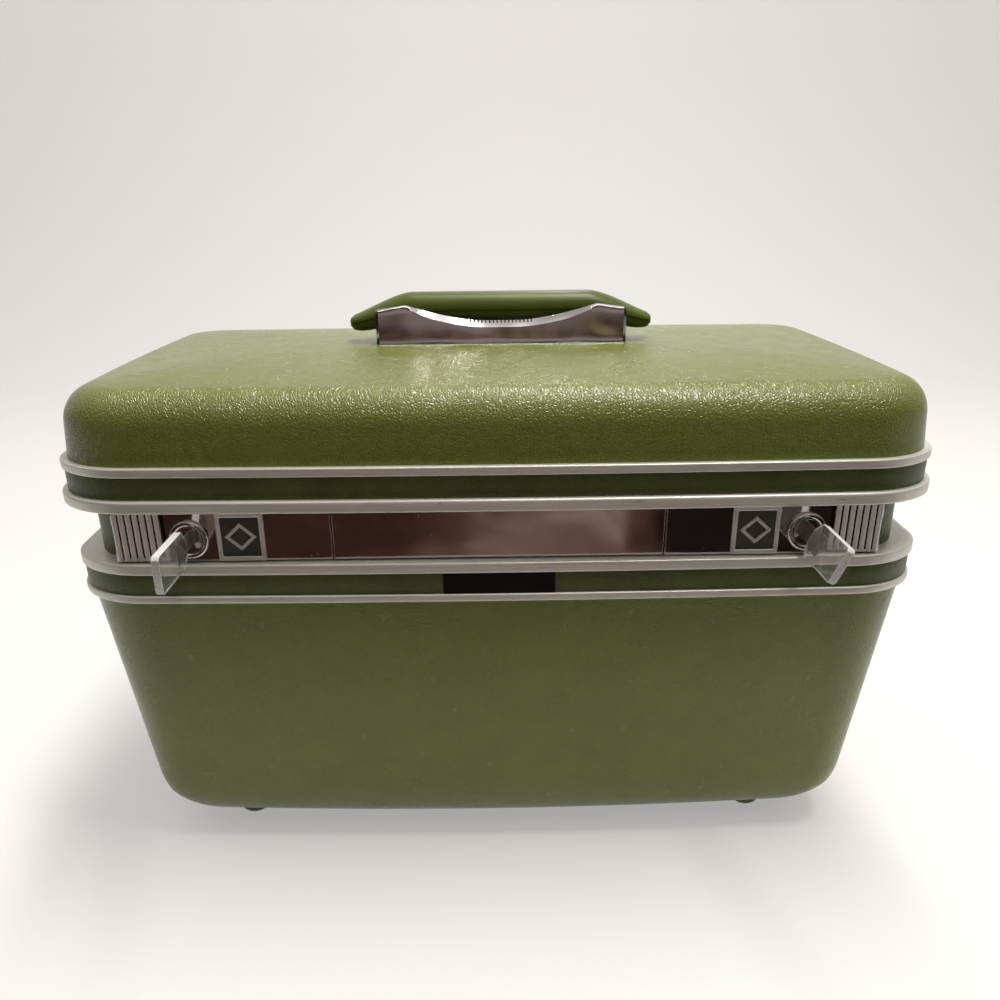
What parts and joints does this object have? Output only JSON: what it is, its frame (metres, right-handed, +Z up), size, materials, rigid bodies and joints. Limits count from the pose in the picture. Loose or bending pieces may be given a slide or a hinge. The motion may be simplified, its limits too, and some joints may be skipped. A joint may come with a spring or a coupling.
{
  "type": "makeup train case",
  "caption": "Hard-side makeup train case with hinged lid, metal rim frames, key locks, sliding latches, lift-up top handle, lift-out tray and lid mirror.",
  "frame": {"origin": "on the floor plane under the feet, at mid width and mid depth of the case's lip", "axes": "+X to the viewer's right along the case, +Y to the hinges at the back, +Z up; the locks face -Y"},
  "size_m": [0.3542, 0.2601, 0.2314],
  "materials": {
    "shell_vinyl": "olive green vinyl leathercloth, moulded with a fine leather grain, satin",
    "band_vinyl": "olive green ribbed vinyl strip, satin",
    "rim_aluminium": "drawn aluminium, satin anodised with a bright edge",
    "lock_chrome": "bright chrome plate on pressed steel",
    "plain_steel": "zinc plated steel, satin",
    "feet_plastic": "olive green moulded domes, matte",
    "lining_fabric": "cream rayon cloth over thin padding, matte",
    "tray_plastic": "ivory moulded plastic",
    "tile_enamel": "dark enamelled metal, semi gloss",
    "tape_plastic": "black embossing tape, glossy",
    "mirror_glass": "silvered glass",
    "handle_plastic": "olive green moulded plastic, fine grain, semi gloss",
    "clear_acrylic": "clear acrylic with polished edges"
  },
  "bodies": {
    "base": {"base_shell": "shell_vinyl", "base_frame": "rim_aluminium", "base_band": "band_vinyl", "throat_wall": "band_vinyl", "label_tape": "tape_plastic", "feet": "feet_plastic", "base_lining": "lining_fabric", "tray": "tray_plastic", "tray_rests": "lining_fabric", "centre_lock_plate": "lock_chrome", "left_lock_plate": "lock_chrome", "right_lock_plate": "lock_chrome", "left_lock_case": "plain_steel", "right_lock_case": "plain_steel", "left_initial_frame": "lock_chrome", "right_initial_frame": "lock_chrome", "left_initial_tile": "tile_enamel", "right_initial_tile": "tile_enamel", "left_lock_ring": "lock_chrome", "right_lock_ring": "lock_chrome", "lower_hinge_leaves": "plain_steel", "hinge_pins": "plain_steel", "lower_leaf_rivets": "plain_steel"},
    "lid": {"lid_shell": "shell_vinyl", "lid_frame": "rim_aluminium", "lid_band": "band_vinyl", "lid_lining": "lining_fabric", "mirror": "mirror_glass", "mirror_frame": "lock_chrome", "left_catch": "plain_steel", "right_catch": "plain_steel", "upper_hinge_leaves": "plain_steel", "upper_leaf_rivets": "plain_steel", "handle_trough": "lock_chrome", "handle_pins": "plain_steel", "trough_rivets": "plain_steel"},
    "handle": {"handle_upper": "handle_plastic", "handle_lower": "handle_plastic", "handle_screws": "plain_steel"},
    "left_latch": {"left_slide_button": "lock_chrome", "left_bolt": "plain_steel"},
    "right_latch": {"right_slide_button": "lock_chrome", "right_bolt": "plain_steel"},
    "left_cylinder": {"left_lock_cylinder": "lock_chrome"},
    "right_cylinder": {"right_lock_cylinder": "lock_chrome"},
    "left_key": {"left_key_blade": "plain_steel", "left_key_bow": "clear_acrylic"},
    "right_key": {"right_key_blade": "plain_steel", "right_key_bow": "clear_acrylic"}
  },
  "joints": [
    {"name": "lid_hinge", "type": "hinge", "parent": "base", "child": "lid", "pos_m": [0, 0.1046, 0.1517], "axis": [-1, 0, 0], "range_deg": [0, 105]},
    {"name": "handle_lift", "type": "slide", "parent": "lid", "child": "handle", "axis": [0, 0, 1], "range_m": [0, 0.005]},
    {"name": "left_latch_slide", "type": "slide", "parent": "base", "child": "left_latch", "axis": [-1, 0, 0], "range_m": [-0.0012, 0.004]},
    {"name": "right_latch_slide", "type": "slide", "parent": "base", "child": "right_latch", "axis": [1, 0, 0], "range_m": [-0.0012, 0.004]},
    {"name": "left_cylinder_turn", "type": "hinge", "parent": "base", "child": "left_cylinder", "pos_m": [-0.1209, -0.1037, 0.1507], "axis": [0, 1, 0], "range_deg": [0, 90]},
    {"name": "right_cylinder_turn", "type": "hinge", "parent": "base", "child": "right_cylinder", "pos_m": [0.1209, -0.1037, 0.1507], "axis": [0, -1, 0], "range_deg": [0, 90]},
    {"name": "left_key_pull", "type": "slide", "parent": "left_cylinder", "child": "left_key", "axis": [0, -1, 0], "range_m": [0, 0.012]},
    {"name": "right_key_pull", "type": "slide", "parent": "right_cylinder", "child": "right_key", "axis": [0, -1, 0], "range_m": [0, 0.012]}
  ]
}
